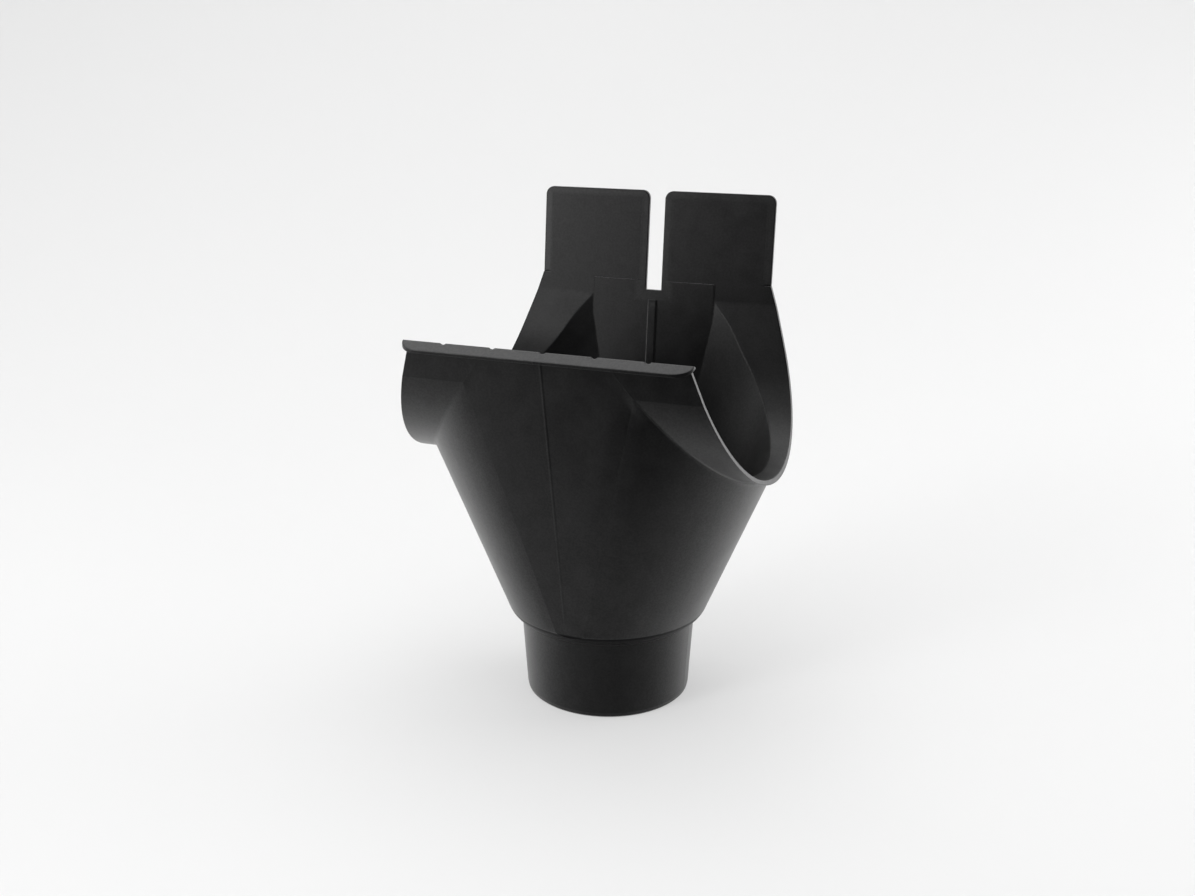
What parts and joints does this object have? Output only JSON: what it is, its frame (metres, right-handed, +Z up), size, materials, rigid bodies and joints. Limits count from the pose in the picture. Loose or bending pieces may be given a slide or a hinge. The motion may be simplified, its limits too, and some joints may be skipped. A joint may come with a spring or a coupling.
{
  "type": "gutter running outlet",
  "caption": "Half-round gutter outlet: an open cradle with a hooked front lip and split back tabs, tapering through a flat-sided funnel to a round spigot.",
  "frame": {"origin": "centre of the spigot's lower end, on the spigot's axis", "axes": "+Z up along the spigot's axis towards the cradle, X along the gutter, -Y towards the hooked front lip, +Y towards the back tabs"},
  "size_m": [0.1682, 0.146, 0.233],
  "materials": {
    "black_plastic": "fine matte, black"
  },
  "bodies": {
    "root": {"gutter_outlet": "black_plastic"}
  },
  "joints": []
}
